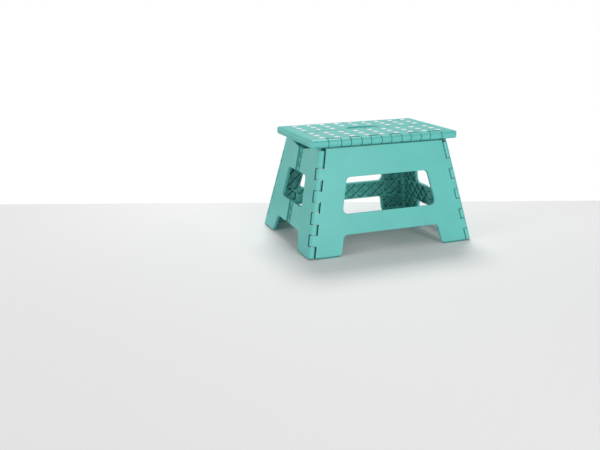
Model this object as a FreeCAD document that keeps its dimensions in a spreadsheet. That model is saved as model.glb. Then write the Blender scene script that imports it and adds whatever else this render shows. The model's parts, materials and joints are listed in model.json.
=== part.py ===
import FreeCAD, Part
import math
import os

V = FreeCAD.Vector
os.makedirs("parts", exist_ok=True)
doc = FreeCAD.newDocument("FoldingStepStool")

# ---------------------------------------------------------------- dimensions
DIMENSIONS = {
    "stool_height": 220.0,
    "deck_length": 316.0,
    "deck_thickness": 16.0,
    "deck_skin": 3.0,
    "edge_axis_y": 92.0,
    "edge_radius": 8.0,
    "leg_splay": 12.44,
    "end_splay": 11.37,
    "foot_x": 178.0,
    "panel_thickness": 6.0,
    "panel_skin": 2.4,
    "rib_width": 2.4,
    "rib_pitch": 25.0,
    "corner_radius": 6.3,
    "corner_notch": 12.7,
    "pin_radius": 2.0,
    "pin_play": 0.05,
    "knuckle_gap": 0.55,
    "pad_height": 3.0,
    "dot_radius": 6.0,
    "dot_depth": 1.2,
    "dot_proud": 0.5,
    "seam_axis_height": 3.0,
    "seam_barrel": 5.0,
    "mid_axis_depth": 3.0,
    "mid_barrel": 2.9,
    "mid_pin_radius": 1.3,
    "groove_width": 12.0,
    "groove_depth": 3.2,
    "finger_slot": 9.6,
    "grip_length": 84.0,
    "grip_width": 21.5,
}
sheet = doc.addObject("Spreadsheet::Sheet", "Dims")
for row, (alias, value) in enumerate(DIMENSIONS.items(), start=1):
    sheet.set("A%d" % row, alias)
    sheet.set("B%d" % row, str(value))
    sheet.setAlias("B%d" % row, alias)
doc.recompute()


def dim(alias):
    return float(sheet.get(alias))


# ------------------------------------------------------------ derived layout
THICK = dim("panel_thickness")
GAP = dim("knuckle_gap")
DECK_BASE = dim("stool_height") - dim("deck_thickness")
HINGE_Z = DECK_BASE + dim("edge_radius")
SPLAY = math.radians(dim("leg_splay"))
END_SPLAY = math.radians(dim("end_splay"))
FOOT_Y = dim("edge_axis_y") + HINGE_Z * math.tan(SPLAY)
FOOT_X = dim("foot_x")
LEG_AXIS_V = HINGE_Z / math.cos(SPLAY)
LEG_TOP_V = LEG_AXIS_V - dim("edge_radius") - 0.5

LEG_NORMAL = V(0, -math.cos(SPLAY), math.sin(SPLAY))
END_NORMAL = V(-math.cos(END_SPLAY), 0, math.sin(END_SPLAY))
CORNER_DIR = V(math.tan(END_SPLAY), math.tan(SPLAY), 1.0).normalize()
CORNER_ANGLE = math.pi - LEG_NORMAL.getAngle(END_NORMAL)
CORNER_SETBACK = dim("corner_radius") / math.tan(CORNER_ANGLE / 2)
LEG_LEAN = math.asin(CORNER_DIR.x)
END_LEAN = math.asin(CORNER_DIR.y)

# Heights at which the corner knuckles change owner; the ends own the outer ones.
CORNER_HEIGHTS = [26.2, 47.0, 66.2, 87.4, 106.7, 127.4, 147.0, 168.0]
CORNER_STEPS = [z / CORNER_DIR.z for z in CORNER_HEIGHTS]
EDGE_STEPS = [10.5, 32.5, 52.5, 75.0, 95.5, 121.5]
SEAM_HALF = 158.0
PIN_HALF = 149.0
SEAM_TEETH = 12
MID_FINGERS = 5
UPPER_BAND = (144.0, 190.0)
LOWER_BAND = (38.0, 82.0)


# ------------------------------------------------------------ sketch helpers
def arc_corner(before, corner, after, radius):
    """Start, middle and end of the arc that rounds one corner."""
    to_before = (before - corner).normalize()
    to_after = (after - corner).normalize()
    half = to_before.getAngle(to_after) / 2
    reach = radius / math.tan(half)
    start = corner + to_before * reach
    end = corner + to_after * reach
    bisector = (to_before + to_after).normalize()
    middle = corner + bisector * (radius / math.sin(half) - radius)
    return start, middle, end


def loop_edges(points):
    """Closed outline; each point is (x, y) or (x, y, corner radius)."""
    corners = [V(p[0], p[1], 0) for p in points]
    radii = [p[2] if len(p) > 2 else 0.0 for p in points]
    count = len(corners)
    stops = []
    for i in range(count):
        if radii[i]:
            stops.append(arc_corner(corners[i - 1], corners[i], corners[(i + 1) % count], radii[i]))
        else:
            stops.append((corners[i],))
    edges = []
    for i in range(count):
        if len(stops[i]) == 3:
            edges.append(Part.Arc(*stops[i]))
        begin = stops[i][-1]
        finish = stops[(i + 1) % count][0]
        if begin.distanceToPoint(finish) > 1e-6:
            edges.append(Part.LineSegment(begin, finish))
    return edges


def circle(x, y, radius):
    return [Part.Circle(V(x, y, 0), V(0, 0, 1), radius)]


def rectangle(x0, x1, y0, y1, radius=0.0):
    return loop_edges([(x0, y0, radius), (x1, y0, radius), (x1, y1, radius), (x0, y1, radius)])


def corner_waste(x, y, side_x, side_y, radius):
    """Material outside the rounding of one convex corner."""
    near_x, near_y = x - side_x * radius, y - side_y * radius
    far_x, far_y = x + side_x * 2, y + side_y * 2
    diagonal = radius * math.sqrt(0.5)
    middle = V(near_x + side_x * diagonal, near_y + side_y * diagonal, 0)
    stops = [V(x, near_y, 0), V(far_x, near_y, 0), V(far_x, far_y, 0), V(near_x, far_y, 0), V(near_x, y, 0)]
    lines = [Part.LineSegment(a, b) for a, b in zip(stops, stops[1:])]
    return lines + [Part.Arc(stops[-1], middle, stops[0])]


def axes(origin, x_dir, z_dir):
    """Placement whose local X and Z point along the two directions."""
    y_dir = z_dir.cross(x_dir)
    return FreeCAD.Placement(origin, FreeCAD.Rotation(x_dir, y_dir, z_dir, "ZXY"))


def level(height):
    return FreeCAD.Placement(V(0, 0, height), FreeCAD.Rotation())


def new_body(name, placement):
    body = doc.addObject("PartDesign::Body", name)
    body.Label = name
    body.Placement = placement
    return body


def sketch_on(body, name, placement, loops):
    plane = [f for f in body.Origin.OriginFeatures if f.Role == "XY_Plane"][0]
    sketch = body.newObject("Sketcher::SketchObject", name)
    sketch.AttachmentSupport = [(plane, "")]
    sketch.MapMode = "FlatFace"
    sketch.AttachmentOffset = placement
    for loop in loops:
        sketch.addGeometry(loop, False)
    return sketch


def feature(body, kind, name, placement, loops, length, reverse=False):
    """Pad or pocket; length is a number or a spreadsheet expression."""
    sketch = sketch_on(body, name + "_sketch", placement, loops)
    item = body.newObject("PartDesign::" + kind, name)
    item.Profile = sketch
    item.Reversed = reverse
    if isinstance(length, str):
        item.setExpression("Length", length)
    else:
        item.Length = length
    sketch.Visibility = False
    return item


def pad(body, name, placement, loops, length):
    return feature(body, "Pad", name, placement, loops, length)


def pocket(body, name, placement, loops, length, reverse=False):
    return feature(body, "Pocket", name, placement, loops, length, reverse)


def rod(name, start, direction, radius_alias, length):
    item = doc.addObject("Part::Cylinder", name)
    item.Label = name
    item.setExpression("Radius", "Dims." + radius_alias)
    item.Height = length
    item.Placement = FreeCAD.Placement(start, FreeCAD.Rotation(V(0, 0, 1), direction))
    return item


# -------------------------------------------------------------- rib lattice
def clipped(polygon, region):
    """Part of a polygon inside a convex region given counter-clockwise."""
    result = polygon
    for i in range(len(region)):
        a = region[i]
        b = region[(i + 1) % len(region)]
        side = [(b[0] - a[0]) * (p[1] - a[1]) - (b[1] - a[1]) * (p[0] - a[0]) for p in result]
        kept = []
        for j in range(len(result)):
            k = (j + 1) % len(result)
            if side[j] >= 0:
                kept.append(result[j])
            if side[j] * side[k] < 0:
                t = side[j] / (side[j] - side[k])
                kept.append((result[j][0] + t * (result[k][0] - result[j][0]),
                             result[j][1] + t * (result[k][1] - result[j][1])))
        result = kept
        if len(result) < 3:
            return []
    return result


def area(polygon):
    total = 0.0
    for i in range(len(polygon)):
        x0, y0 = polygon[i - 1]
        x1, y1 = polygon[i]
        total += x0 * y1 - x1 * y0
    return abs(total) / 2


def tidy(polygon):
    return [p for i, p in enumerate(polygon)
            if math.hypot(p[0] - polygon[i - 1][0], p[1] - polygon[i - 1][1]) > 0.05]


def diamond_cells(region):
    """Pocket outlines that leave crossing diagonal ribs inside the region."""
    pitch = dim("rib_pitch")
    reach = pitch / 2 - dim("rib_width") * math.sqrt(0.5)
    xs = [p[0] for p in region]
    ys = [p[1] for p in region]
    cells = []
    for row in range(int(min(ys) / pitch * 2) - 2, int(max(ys) / pitch * 2) + 3):
        for column in range(int(min(xs) / pitch) - 2, int(max(xs) / pitch) + 3):
            x = (column + 0.5 * (row % 2)) * pitch
            y = row * pitch / 2
            diamond = [(x + reach, y), (x, y + reach), (x - reach, y), (x, y - reach)]
            cell = tidy(clipped(diamond, region))
            if len(cell) > 2 and area(cell) > 25:
                cells.append(loop_edges(cell))
    return cells


# ------------------------------------------------------------- corner hinges
def corner_point(foot, lean, step, inward, sign):
    """Point in a panel's own plane, by distance up the corner and inward."""
    x = foot - step * math.sin(lean) - inward * math.cos(lean)
    y = step * math.cos(lean) - inward * math.sin(lean)
    return V(sign * x, y, 0)


def corner_notch(foot, lean, low, high, sign):
    reach = dim("corner_notch")
    stops = [(low, -3.0), (high, -3.0), (high, reach), (low, reach)]
    points = [corner_point(foot, lean, step, inward, sign) for step, inward in stops]
    return loop_edges([(p.x, p.y) for p in points])


def corner_axis(foot, lean, step, sign):
    base = corner_point(foot, lean, step, CORNER_SETBACK, sign)
    base.z = -dim("corner_radius")
    up = V(-sign * math.sin(lean), math.cos(lean), 0)
    return axes(base, V(0, 0, 1), up)


def corner_barrel(body, name, foot, lean, low, high, sign):
    place = corner_axis(foot, lean, low, sign)
    pad(body, name, place, [circle(0, 0, dim("corner_radius"))], high - low)


def corner_bore(body, name, foot, lean, low, high, sign):
    place = corner_axis(foot, lean, high, sign)
    radius = dim("pin_radius") + dim("pin_play")
    pocket(body, name, place, [circle(0, 0, radius)], high - low)


def inner_edge(foot, lean, inward, v):
    """Distance from the panel's centre line to its corner strip at height v."""
    return foot - v * math.tan(lean) - inward / math.cos(lean)


CORNER_LOW = 4.6
CORNER_HIGH = 199.6 / CORNER_DIR.z


# -------------------------------------------------------------- leg panels
def leg_outline():
    edge_v = 3.0
    side_low = inner_edge(FOOT_X, LEG_LEAN, CORNER_SETBACK, edge_v)
    side_high = inner_edge(FOOT_X, LEG_LEAN, CORNER_SETBACK, LEG_TOP_V)
    head = EDGE_STEPS[-1] - GAP
    arch = 39.7 / math.cos(SPLAY)
    half = [(110.3, edge_v, 5.0), (102.0, arch, 9.0)]
    right = half[::-1]
    left = [(-x, y, r) for x, y, r in half]
    top = [(side_low, edge_v), (side_high, LEG_TOP_V), (head, LEG_TOP_V), (head, LEG_AXIS_V),
           (-head, LEG_AXIS_V), (-head, LEG_TOP_V), (-side_high, LEG_TOP_V), (-side_low, edge_v)]
    return loop_edges(left + right + top)


def leg_window():
    low = 78.4 / math.cos(SPLAY)
    high = 146.6 / math.cos(SPLAY)
    return loop_edges([(-102.0, low, 10.0), (102.0, low, 10.0), (87.0, high, 9.0), (-87.0, high, 9.0)])


def leg_regions():
    """Convex areas of a leg panel that carry ribs on the inside."""
    wall = 3.0
    low = 78.4 / math.cos(SPLAY) - wall
    high = 146.6 / math.cos(SPLAY) + wall
    arch = 39.7 / math.cos(SPLAY) + wall
    reach = dim("corner_notch") + 2.0
    top = LEG_TOP_V - wall

    def side(v):
        return inner_edge(FOOT_X, LEG_LEAN, reach, v)

    def window_side(v):
        return 102.0 + (low + wall - v) * 0.215 + wall + 1.0

    regions = [
        [(-side(high), high), (side(high), high), (side(top), top), (-side(top), top)],
        [(-window_side(low), arch), (window_side(low), arch), (window_side(low), low), (-window_side(low), low)],
    ]
    for sign in (1, -1):
        strip = [(window_side(low) + 2, arch), (side(arch), arch), (side(low), low), (window_side(low) + 2, low)]
        upper = [(window_side(low + 2), low + 2), (side(low + 2), low + 2),
                 (side(high - 2), high - 2), (window_side(high - 2), high - 2)]
        foot = [(116.0, 10.0), (side(10.0), 10.0), (side(arch - 2), arch - 2), (107.0, arch - 2)]
        for shape in (strip, upper, foot):
            mirrored = [(sign * x, y) for x, y in shape]
            regions.append(mirrored if sign > 0 else mirrored[::-1])
    return regions


def build_leg(name, turn):
    frame = axes(V(0, -FOOT_Y, 0), V(1, 0, 0), LEG_NORMAL)
    body = new_body(name, turn.multiply(frame))
    pad(body, name + "_plate", level(-THICK), [leg_outline(), leg_window()], "Dims.panel_thickness")
    for sign, side in ((1, "right"), (-1, "left")):
        corner_barrel(body, name + "_barrel_" + side, FOOT_X, LEG_LEAN, CORNER_STEPS[0], CORNER_STEPS[-1], sign)
    across = axes(V(-EDGE_STEPS[-1] + GAP, 0, 0), V(0, 1, 0), V(1, 0, 0))
    head = [circle(LEG_AXIS_V, 0, dim("edge_radius"))]
    pad(body, name + "_head_barrel", across, head, 2 * (EDGE_STEPS[-1] - GAP))
    notches = []
    for sign in (1, -1):
        owner_edges = [-12.0] + CORNER_STEPS + [240.0]
        for i in range(0, len(owner_edges), 2):
            low = owner_edges[i] - GAP
            high = owner_edges[i + 1] + GAP
            notches.append(corner_notch(FOOT_X, LEG_LEAN, low, high, sign))
    deck_spans = [(-EDGE_STEPS[0], EDGE_STEPS[0])]
    for low, high in ((EDGE_STEPS[1], EDGE_STEPS[2]), (EDGE_STEPS[3], EDGE_STEPS[4])):
        deck_spans += [(low, high), (-high, -low)]
    for low, high in deck_spans:
        notches.append(rectangle(low - GAP, high + GAP, LEG_TOP_V, LEG_AXIS_V + 12))
    pocket(body, name + "_knuckle_gaps", level(14), notches, 34.0)
    head = EDGE_STEPS[-1] + 1
    shadow_line = rectangle(-head, head, LEG_TOP_V - 1.6, LEG_AXIS_V - dim("edge_radius") + 0.2)
    pocket(body, name + "_shadow_line", level(3), [shadow_line], 5.0)
    for sign, side in ((1, "right"), (-1, "left")):
        corner_bore(body, name + "_bore_" + side, FOOT_X, LEG_LEAN, CORNER_STEPS[0] - 1, CORNER_STEPS[-1] + 1, sign)
    bore_start = axes(V(EDGE_STEPS[-1] + 1, 0, 0), V(0, 1, 0), V(1, 0, 0))
    bore = [circle(LEG_AXIS_V, 0, dim("pin_radius") + dim("pin_play"))]
    pocket(body, name + "_head_bore", bore_start, bore, 2 * (EDGE_STEPS[-1] + 1))
    cells = []
    for region in leg_regions():
        cells += diamond_cells(region)
    pocket(body, name + "_ribs", level(-THICK), cells, "Dims.panel_thickness - Dims.panel_skin", True)
    return body


def build_pad(name, turn, sign):
    """Rubber tread between one foot of a leg panel and the floor."""
    frame = axes(V(0, -FOOT_Y, 0), V(1, 0, 0), LEG_NORMAL)
    body = new_body(name, turn.multiply(frame))
    height = dim("pad_height")
    tip = THICK * math.tan(SPLAY)
    low = 115.0
    start = V(low if sign > 0 else -low - 44.0, 0, 0)
    profile = loop_edges([(0, 0), (height, 0), (height, -THICK), (tip, -THICK)])
    pad(body, name + "_tread", axes(start, V(0, 1, 0), V(1, 0, 0)), [profile], 44.0)
    return body


# -------------------------------------------------------------- deck halves
def dot_centres(with_grip):
    centres = []
    for column in range(-4, 5):
        for row, y in enumerate((-22.0, -48.5, -75.0)):
            if not (with_grip and row == 0 and abs(column) < 2):
                centres.append((column * 31.5, y))
    return centres


def build_deck(name, turn, with_grip):
    frame = FreeCAD.Placement(V(0, 0, DECK_BASE), FreeCAD.Rotation())
    body = new_body(name, turn.multiply(frame))
    thick = dim("deck_thickness")
    axis = dim("edge_axis_y")
    radius = dim("edge_radius")
    half = dim("deck_length") / 2
    rise = dim("seam_axis_height")
    barrel = dim("seam_barrel")
    along = axes(V(-half, 0, 0), V(0, 1, 0), V(1, 0, 0))
    slab = [
        Part.LineSegment(V(-axis, 0, 0), V(-24.4, 0, 0)),
        Part.LineSegment(V(-24.4, 0, 0), V(-0.4, rise, 0)),
        Part.LineSegment(V(-0.4, rise, 0), V(-0.4, thick, 0)),
        Part.LineSegment(V(-0.4, thick, 0), V(-axis, thick, 0)),
        Part.Arc(V(-axis, thick, 0), V(-axis - radius, radius, 0), V(-axis, 0, 0)),
    ]
    pad(body, name + "_slab", along, [slab], "Dims.deck_length")
    teeth = [
        Part.LineSegment(V(-8, 2.2, 0), V(-barrel, rise, 0)),
        Part.Arc(V(-barrel, rise, 0), V(0, rise - barrel, 0), V(barrel, rise, 0)),
        Part.LineSegment(V(barrel, rise, 0), V(barrel, thick, 0)),
        Part.LineSegment(V(barrel, thick, 0), V(-8, thick, 0)),
        Part.LineSegment(V(-8, thick, 0), V(-8, 2.2, 0)),
    ]
    pad(body, name + "_seam_teeth", axes(V(-SEAM_HALF, 0, 0), V(0, 1, 0), V(1, 0, 0)), [teeth], 2 * SEAM_HALF)
    from_front = axes(V(0, -axis - 20, 0), V(1, 0, 0), V(0, -1, 0))
    ends = [corner_waste(sx * half, thick / 2 + sz * thick / 2, sx, sz, 7.4) for sx in (1, -1) for sz in (1, -1)]
    pocket(body, name + "_rounded_ends", from_front, ends, axis + 20 + barrel + 1)
    plan = [corner_waste(sx * half, -axis - radius, sx, -1, 9.0) for sx in (1, -1)]
    pocket(body, name + "_rounded_corners", level(thick + 2), plan, thick + 4)
    skirt = rectangle(-axis + radius + 0.6, -81.2, -3.5, 1.0)
    pad(body, name + "_skirt", axes(V(-117, 0, 0), V(0, 1, 0), V(1, 0, 0)), [skirt], 234.0)
    gaps = []
    pitch = 2 * SEAM_HALF / SEAM_TEETH
    for tooth in range(1, SEAM_TEETH, 2):
        low = -SEAM_HALF + tooth * pitch
        high = low + pitch + (2 if tooth == SEAM_TEETH - 1 else 0)
        gaps.append(rectangle(low - GAP, high + GAP, -barrel - 0.5, barrel + 2))
    for low, high in ((EDGE_STEPS[0], EDGE_STEPS[1]), (EDGE_STEPS[2], EDGE_STEPS[3]), (EDGE_STEPS[4], EDGE_STEPS[5])):
        for x0, x1 in ((low, high), (-high, -low)):
            gaps.append(rectangle(x0 - GAP, x1 + GAP, -axis - radius - 2, -axis + radius + 0.5))
    pocket(body, name + "_knuckle_gaps", level(thick + 4), gaps, thick + 12.0)
    bore = dim("pin_radius") + dim("pin_play")
    seam_end = axes(V(PIN_HALF + 0.5, 0, 0), V(0, 1, 0), V(1, 0, 0))
    pocket(body, name + "_seam_bore", seam_end, [circle(0, rise, bore)], 2 * PIN_HALF + 1.0)
    edge_end = axes(V(142, 0, 0), V(0, 1, 0), V(1, 0, 0))
    pocket(body, name + "_edge_bore", edge_end, [circle(-axis, radius, bore)], 284.0)
    cells = []
    for x0, x1, y1 in ((-150.0, -47.0, -26.0), (-45.0, 45.0, -33.0), (47.0, 150.0, -26.0)):
        cells += diamond_cells([(x0, -81.0), (x1, -81.0), (x1, y1), (x0, y1)])
    pocket(body, name + "_ribs", level(0), cells, "Dims.deck_thickness - Dims.deck_skin", True)
    seats = [circle(x, y, dim("dot_radius") + 0.05) for x, y in dot_centres(with_grip)]
    pocket(body, name + "_dot_seats", level(thick), seats, "Dims.dot_depth")
    if with_grip:
        near = -7.5
        far = near - dim("grip_width")
        half_grip = dim("grip_length") / 2
        slot = loop_edges([(-half_grip, near, 4.0), (-half_grip + 19, far, 15.0),
                           (half_grip - 19, far, 15.0), (half_grip, near, 4.0)])
        pocket(body, name + "_grip", level(thick + 2), [slot], thick + 6.0)
    return body


def build_dots(name, turn, with_grip):
    base = dim("stool_height") - dim("dot_depth")
    body = new_body(name, turn.multiply(FreeCAD.Placement(V(0, 0, base), FreeCAD.Rotation())))
    body.AllowCompound = True
    discs = [circle(x, y, dim("dot_radius")) for x, y in dot_centres(with_grip)]
    pad(body, name + "_discs", level(0), discs, "Dims.dot_depth + Dims.dot_proud")
    return body


# ---------------------------------------------------------------- end halves
def up_end(height):
    return height / math.cos(END_SPLAY)


def end_outline(mid, sign):
    """Outline of one end half; mid is where it stops at the folding line."""
    low_v = 2.2
    top_v = up_end(203.3)
    side_low = inner_edge(FOOT_Y, END_LEAN, CORNER_SETBACK, low_v)
    side_high = inner_edge(FOOT_Y, END_LEAN, CORNER_SETBACK, top_v)
    points = [
        (mid, up_end(LOWER_BAND[0])), (62.0, up_end(LOWER_BAND[0]), 10.0), (76.0, low_v, 4.0),
        (side_low, low_v), (side_high, top_v), (84.0, top_v, 4.0),
        (14.0, up_end(UPPER_BAND[1])), (mid, up_end(UPPER_BAND[1])),
        (mid, up_end(UPPER_BAND[0])), (48.0, up_end(UPPER_BAND[0]), 8.0),
        (57.0, up_end(LOWER_BAND[1]), 8.0), (mid, up_end(LOWER_BAND[1])),
    ]
    return loop_edges([(sign * p[0],) + tuple(p[1:]) for p in points])


def end_regions(sign):
    reach = dim("corner_notch") + 2.0
    groove = dim("groove_width") + 2.0
    low = up_end(LOWER_BAND[0]) + 3
    sill = up_end(LOWER_BAND[1]) - 3
    head = up_end(UPPER_BAND[0]) + 3
    cap = up_end(UPPER_BAND[1]) - 3

    def side(v):
        return inner_edge(FOOT_Y, END_LEAN, reach, v)

    shapes = [
        [(groove, low), (side(low), low), (side(sill), sill), (groove, sill)],
        [(60.5, sill + 2), (side(sill + 2), sill + 2), (side(head - 2), head - 2), (51.5, head - 2)],
        [(groove, head), (side(head), head), (side(cap), cap), (groove, cap)],
        [(79.0, 10.0), (side(10.0), 10.0), (side(low - 2), low - 2), (68.0, low - 2)],
    ]
    regions = []
    for shape in shapes:
        mirrored = [(sign * x, y) for x, y in shape]
        regions.append(mirrored if sign > 0 else mirrored[::-1])
    return regions


def finger_spans(band, parity):
    """Heights of the middle fingers of one parity between the band's limits."""
    low, high = up_end(band[0]), up_end(band[1])
    pitch = (high - low) / MID_FINGERS
    spans = []
    for i in range(MID_FINGERS):
        if i % 2 == parity:
            start = low - 3 if i == 0 else low + i * pitch
            stop = high + 3 if i == MID_FINGERS - 1 else low + (i + 1) * pitch
            spans.append((start, stop))
    return spans


def build_end_half(name, turn, sign):
    """sign +1 is the half that carries the middle pins, -1 the half that clips on."""
    frame = axes(V(-FOOT_X, 0, 0), V(0, -1, 0), END_NORMAL)
    body = new_body(name, turn.multiply(frame))
    carries_pin = sign > 0
    mid = 0.0 if carries_pin else 9.2
    groove = dim("groove_width")
    depth = dim("mid_axis_depth")
    pad(body, name + "_plate", level(-THICK), [end_outline(mid, sign)], "Dims.panel_thickness")
    grooves = []
    for band in (LOWER_BAND, UPPER_BAND):
        x0, x1 = sorted((-sign * 2.0, sign * groove))
        grooves.append(rectangle(x0, x1, up_end(band[0]) - 2, up_end(band[1]) + 2))
    pocket(body, name + "_groove", level(0), grooves, "Dims.groove_depth")
    for band, label in ((LOWER_BAND, "lower"), (UPPER_BAND, "upper")):
        low, high = up_end(band[0]), up_end(band[1])
        start = axes(V(0, low, 0), V(1, 0, 0), V(0, 1, 0))
        if carries_pin:
            profile = circle(0, depth, dim("mid_barrel"))
        else:
            profile = loop_edges([(-13.0, 3.4), (-9.2, 3.4), (-9.2, 7.3), (2.2, 7.3),
                                  (2.2, 3.0), (3.8, 3.0), (3.8, 9.2), (-13.0, 9.2)])
        pad(body, name + "_finger_" + label, start, [profile], high - low)
    corner_barrel(body, name + "_barrel", FOOT_Y, END_LEAN, CORNER_LOW, CORNER_HIGH, sign)
    notches = []
    for i in range(0, len(CORNER_STEPS), 2):
        low = CORNER_STEPS[i] - GAP
        high = CORNER_STEPS[i + 1] + GAP
        notches.append(corner_notch(FOOT_Y, END_LEAN, low, high, sign))
    clear = 0.5
    for band in (LOWER_BAND, UPPER_BAND):
        for low, high in finger_spans(band, 1 if carries_pin else 0):
            x0, x1 = sorted((-sign * 5.0, sign * dim("finger_slot")))
            notches.append(rectangle(x0, x1, low - clear, high + clear))
    pocket(body, name + "_knuckle_gaps", level(4), notches, 20.0)
    corner_bore(body, name + "_bore", FOOT_Y, END_LEAN, CORNER_LOW + 3, CORNER_HIGH + 1, sign)
    if carries_pin:
        for band, label in ((LOWER_BAND, "lower"), (UPPER_BAND, "upper")):
            low, high = up_end(band[0]), up_end(band[1])
            end = axes(V(0, high + 1, 0), V(1, 0, 0), V(0, 1, 0))
            hole = circle(0, depth, dim("mid_pin_radius") + dim("pin_play"))
            pocket(body, name + "_pin_hole_" + label, end, [hole], high - low + 2)
    cells = []
    for region in end_regions(sign):
        cells += diamond_cells(region)
    pocket(body, name + "_ribs", level(-THICK), cells, "Dims.panel_thickness - Dims.panel_skin", True)
    return body


# ----------------------------------------------------------------- assembly
HERE = FreeCAD.Placement()
TURNED = FreeCAD.Placement(V(0, 0, 0), FreeCAD.Rotation(V(0, 0, 1), 180))

parts = []
for label, turn, with_grip in (("front", HERE, False), ("rear", TURNED, True)):
    parts.append(build_deck("top_%s_half" % label, turn, with_grip))
    parts.append(build_dots("top_%s_grip_dots" % label, turn, with_grip))
    parts.append(build_leg("%s_leg_panel" % label, turn))
    for sign in (1, -1):
        side = "right" if (sign > 0) == (turn is HERE) else "left"
        parts.append(build_pad("%s_%s_foot_pad" % (label, side), turn, sign))

for name, turn, sign in (("left_front_end_half", HERE, 1), ("left_rear_end_half", HERE, -1),
                         ("right_rear_end_half", TURNED, 1), ("right_front_end_half", TURNED, -1)):
    parts.append(build_end_half(name, turn, sign))

seam_z = DECK_BASE + dim("seam_axis_height")
parts.append(rod("top_seam_hinge_pin", V(-PIN_HALF, 0, seam_z), V(1, 0, 0), "pin_radius", 2 * PIN_HALF))
for label, y in (("front", -dim("edge_axis_y")), ("rear", dim("edge_axis_y"))):
    parts.append(rod("%s_edge_hinge_pin" % label, V(-141, y, HINGE_Z), V(1, 0, 0), "pin_radius", 282.0))

for label, turn in (("front", HERE), ("rear", TURNED)):
    frame = turn.multiply(axes(V(0, -FOOT_Y, 0), V(1, 0, 0), LEG_NORMAL))
    for sign in (1, -1):
        side = "right" if (sign > 0) == (turn is HERE) else "left"
        place = frame.multiply(corner_axis(FOOT_X, LEG_LEAN, CORNER_LOW + 4, sign))
        direction = place.Rotation.multVec(V(0, 0, 1))
        length = CORNER_HIGH - CORNER_LOW - 4.5
        parts.append(rod("%s_%s_corner_pin" % (label, side), place.Base, direction, "pin_radius", length))

for side, turn in (("left", HERE), ("right", TURNED)):
    frame = turn.multiply(axes(V(-FOOT_X, 0, 0), V(0, -1, 0), END_NORMAL))
    for band, label in ((LOWER_BAND, "lower"), (UPPER_BAND, "upper")):
        start = frame.multVec(V(0, up_end(band[0]) + 0.5, -dim("mid_axis_depth")))
        direction = frame.Rotation.multVec(V(0, 1, 0))
        length = up_end(band[1]) - up_end(band[0]) - 1.0
        parts.append(rod("%s_%s_middle_pin" % (side, label), start, direction, "mid_pin_radius", length))

doc.recompute()

# ------------------------------------------------------------------- export
for item in doc.Objects:
    if "Invalid" in item.State or "Error" in item.State:
        raise RuntimeError("feature failed: " + item.Name)
for item in parts:
    shape = item.Shape
    if shape.isNull() or not shape.isValid() or not shape.Solids:
        raise RuntimeError("bad shape: " + item.Label)
    shape.exportStep("parts/%s.step" % item.Label)
    print("%-24s solids %2d  volume %9.1f" % (item.Label, len(shape.Solids), shape.Volume))
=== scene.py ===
import json
import math

import bpy
from mathutils import Matrix, Vector

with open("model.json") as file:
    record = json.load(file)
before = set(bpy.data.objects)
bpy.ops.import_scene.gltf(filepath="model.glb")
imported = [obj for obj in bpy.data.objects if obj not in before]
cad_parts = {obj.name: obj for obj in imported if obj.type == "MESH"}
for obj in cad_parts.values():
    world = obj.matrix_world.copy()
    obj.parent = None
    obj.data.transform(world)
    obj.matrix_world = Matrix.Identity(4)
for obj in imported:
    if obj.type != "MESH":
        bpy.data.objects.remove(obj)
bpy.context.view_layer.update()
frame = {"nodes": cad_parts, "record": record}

scene = bpy.context.scene
scene.view_settings.view_transform = "Standard"


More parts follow.
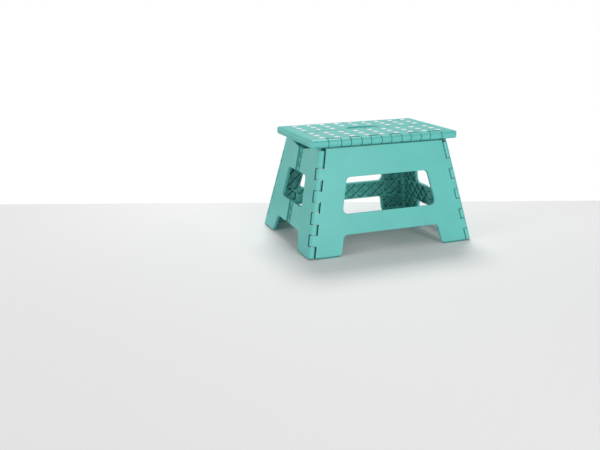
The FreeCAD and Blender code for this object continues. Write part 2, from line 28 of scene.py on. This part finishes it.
# ------------------------------------------------------------- node helpers
class Shader:
    """A small wrapper that adds and links nodes of one material."""

    def __init__(self, name):
        self.material = bpy.data.materials.new(name)
        self.material.use_nodes = True
        self.tree = self.material.node_tree
        self.tree.nodes.clear()
        self.output = self.add("ShaderNodeOutputMaterial")
        self.surface = self.add("ShaderNodeBsdfPrincipled")
        self.link(self.surface, "BSDF", self.output, "Surface")
        self.place = self.add("ShaderNodeTexCoord")

    def add(self, kind, **inputs):
        node = self.tree.nodes.new(kind)
        for key, value in inputs.items():
            node.inputs[key.replace("_", " ")].default_value = value
        return node

    def link(self, a, out, b, into):
        self.tree.links.new(a.outputs[out], b.inputs[into])

    def noise(self, scale, detail=2.0, stretch=None):
        node = self.add("ShaderNodeTexNoise", Scale=scale, Detail=detail)
        if stretch:
            mapping = self.add("ShaderNodeMapping", Scale=stretch)
            self.link(self.place, "Object", mapping, "Vector")
            self.link(mapping, "Vector", node, "Vector")
        else:
            self.link(self.place, "Object", node, "Vector")
        return node

    def ramp(self, source, low, high, start=0.3, end=0.7):
        node = self.add("ShaderNodeValToRGB")
        node.color_ramp.elements[0].position = start
        node.color_ramp.elements[1].position = end
        node.color_ramp.elements[0].color = low
        node.color_ramp.elements[1].color = high
        self.link(source, "Fac", node, "Fac")
        return node

    def spread(self, source, low, high):
        node = self.add("ShaderNodeMapRange")
        node.inputs["To Min"].default_value = low
        node.inputs["To Max"].default_value = high
        self.link(source, "Fac", node, "Value")
        return node

    def painted_gap_shade(self, tint, reach):
        """Paints shade into a colour in narrow gaps, creases and recesses, where little light
        comes back out.
        """
        deepest_painted_shade = (0.13, 0.17, 0.18, 1)
        near = self.add("ShaderNodeAmbientOcclusion", Distance=reach)
        near.samples = 8
        self.link(tint, "Color", near, "Color")
        shade_ramp = self.add("ShaderNodeValToRGB")
        shade_ramp.color_ramp.elements[0].position = 0.15
        shade_ramp.color_ramp.elements[1].position = 0.85
        shade_ramp.color_ramp.elements[0].color = deepest_painted_shade
        shade_ramp.color_ramp.elements[1].color = (1, 1, 1, 1)
        self.link(near, "AO", shade_ramp, "Fac")
        mixed = self.add("ShaderNodeVectorMath")
        mixed.operation = "MULTIPLY"
        self.link(tint, "Color", mixed, 0)
        self.link(shade_ramp, "Color", mixed, 1)
        return mixed

    def fade_out(self, start, end):
        """Turns the surface clear between two distances from the object's middle."""
        spot = self.add("ShaderNodeNewGeometry")
        reach = self.add("ShaderNodeVectorMath")
        reach.operation = "LENGTH"
        self.link(spot, "Position", reach, 0)
        fade = self.add("ShaderNodeMapRange")
        fade.inputs["From Min"].default_value = start
        fade.inputs["From Max"].default_value = end
        self.link(reach, "Value", fade, "Value")
        gone = self.add("ShaderNodeBsdfTransparent")
        blend = self.add("ShaderNodeMixShader")
        self.link(fade, "Result", blend, 0)
        self.link(self.surface, "BSDF", blend, 1)
        self.link(gone, "BSDF", blend, 2)
        self.link(blend, "Shader", self.output, "Surface")

    def relief(self, grain, distance, strength, radius=0.0):
        bump = self.add("ShaderNodeBump", Strength=strength, Distance=distance)
        self.link(grain, "Fac", bump, "Height")
        if radius:
            bevel = self.add("ShaderNodeBevel", Radius=radius)
            bevel.samples = 6
            self.link(bevel, "Normal", bump, "Normal")
        self.link(bump, "Normal", self.surface, "Normal")


def shade(colour, factor):
    return tuple(c * factor for c in colour) + (1.0,)


def plastic(name, colour, rough, edge=0.0013, painted_shade_reach=0.007):
    s = Shader(name)
    cloud = s.noise(22.0, 3.0)
    tint = s.ramp(cloud, shade(colour, 0.965), shade(colour, 1.03))
    # painted shade: the base colour is darkened in gaps, creases and recesses by an
    # ambient-occlusion probe
    s.link(s.painted_gap_shade(tint, painted_shade_reach), "Vector", s.surface, "Base Color")
    worn = s.noise(140.0, 4.0)
    s.link(s.spread(worn, rough - 0.05, rough + 0.07), "Result", s.surface, "Roughness")
    s.surface.inputs["Specular IOR Level"].default_value = 0.42
    s.surface.inputs["Subsurface Weight"].default_value = 0.04
    s.surface.inputs["Subsurface Scale"].default_value = 0.002
    s.relief(s.noise(2600.0, 2.0), 0.00008, 0.3, edge)
    return s.material


def rubber(name, colour, rough):
    s = Shader(name)
    speck = s.noise(900.0, 3.0)
    tint = s.ramp(speck, shade(colour, 0.93), shade(colour, 1.04))
    s.link(tint, "Color", s.surface, "Base Color")
    s.link(s.spread(s.noise(300.0), rough - 0.06, rough + 0.06), "Result", s.surface, "Roughness")
    s.surface.inputs["Specular IOR Level"].default_value = 0.3
    s.relief(s.noise(1800.0, 3.0), 0.0001, 0.4, 0.0004)
    return s.material


def steel(name, colour):
    s = Shader(name)
    drawn = s.noise(60.0, 4.0, (1.0, 40.0, 40.0))
    tint = s.ramp(drawn, shade(colour, 0.85), shade(colour, 1.08))
    s.link(tint, "Color", s.surface, "Base Color")
    s.surface.inputs["Metallic"].default_value = 1.0
    s.link(s.spread(drawn, 0.24, 0.4), "Result", s.surface, "Roughness")
    s.relief(drawn, 0.00005, 0.3)
    return s.material


TEAL = (0.125, 0.545, 0.495)
materials = {
    "shell_plastic": plastic("teal_polypropylene", TEAL, 0.42),
    "grip_rubber": rubber("pale_grip_rubber", (0.83, 0.79, 0.83), 0.62),
    "foot_rubber": rubber("dark_foot_rubber", (0.07, 0.27, 0.25), 0.7),
    "pin_steel": steel("drawn_steel", (0.5, 0.51, 0.52)),
}

slots = {item["node"]: item["material_slot"] for item in frame["record"]["subparts"]}
for node_name, node in frame["nodes"].items():
    node.data.materials.clear()
    node.data.materials.append(materials[slots[node_name]])


# --------------------------------------------------------- floor and lights
VIEW_TURN = math.radians(-20.9)
FAR_EDGE = 0.245
FADE_START = 1.5
FADE_END = 2.4
FLOOR_WIDE = 9.0
FLOOR_DEEP = 5.0

bpy.ops.mesh.primitive_plane_add(size=1.0, location=(0, 0, 0))
floor = bpy.context.object
floor.name = "studio_floor"
floor.scale = (FLOOR_WIDE, FLOOR_DEEP, 1.0)
floor.rotation_euler = (0, 0, VIEW_TURN)
middle = Vector((0, FAR_EDGE - FLOOR_DEEP / 2, 0))
floor.location = Matrix.Rotation(VIEW_TURN, 3, "Z") @ middle
ground = Shader("pale_floor")
paper = ground.ramp(ground.noise(3.0), (0.87, 0.865, 0.86, 1), (0.89, 0.885, 0.88, 1))
ground.link(paper, "Color", ground.surface, "Base Color")
ground.surface.inputs["Roughness"].default_value = 0.75
ground.surface.inputs["Specular IOR Level"].default_value = 0.2
ground.fade_out(FADE_START, FADE_END)
floor.data.materials.append(ground.material)

world = bpy.data.worlds.new("studio")
scene.world = world
world.use_nodes = True
sky = world.node_tree
# The camera sees plain white; everything else is lit by a dimmer, slightly cool sky.
seen = sky.nodes["Background"]
seen.inputs["Color"].default_value = (1, 1, 1, 1)
seen.inputs["Strength"].default_value = 1.0
ambient = sky.nodes.new("ShaderNodeBackground")
ambient.inputs["Color"].default_value = (0.97, 0.985, 1, 1)
ambient.inputs["Strength"].default_value = 0.35
ray = sky.nodes.new("ShaderNodeLightPath")
either = sky.nodes.new("ShaderNodeMixShader")
sky.links.new(ray.outputs["Is Camera Ray"], either.inputs["Fac"])
sky.links.new(ambient.outputs["Background"], either.inputs[1])
sky.links.new(seen.outputs["Background"], either.inputs[2])
sky.links.new(either.outputs["Shader"], sky.nodes["World Output"].inputs["Surface"])


def area_light(name, place, target, size, power):
    data = bpy.data.lights.new(name, "AREA")
    data.shape = "DISK"
    data.size = size
    data.energy = power
    lamp = bpy.data.objects.new(name, data)
    lamp.location = place
    lamp.rotation_euler = (Vector(target) - Vector(place)).to_track_quat("-Z", "Y").to_euler()
    scene.collection.objects.link(lamp)


MIDDLE = (0, 0, 0.1)
area_light("front_fill", (0.2, -2.6, 0.7), MIDDLE, 1.2, 30.0)
area_light("left_fill", (-2.4, -0.6, 0.7), MIDDLE, 1.2, 14.0)
area_light("overhead", (0.3, 0.95, 1.7), MIDDLE, 0.7, 23.0)
area_light("rear_left_card", (-1.3, 2.3, 0.45), MIDDLE, 0.8, 4.5)

# ------------------------------------------------------------------- camera
CAMERA_PLACE = (-0.6477, -1.35614, 0.453)
CAMERA_TILT = 73.676
CAMERA_ROLL = 0.469
CAMERA_TURN = -20.527

camera_data = bpy.data.cameras.new("camera")
camera_data.lens = 44.04
camera_data.sensor_width = 36.0
camera_data.clip_start = 0.05
camera = bpy.data.objects.new("camera", camera_data)
scene.collection.objects.link(camera)
camera.location = CAMERA_PLACE
camera.rotation_euler = [math.radians(angle) for angle in (CAMERA_TILT, CAMERA_ROLL, CAMERA_TURN)]
scene.camera = camera
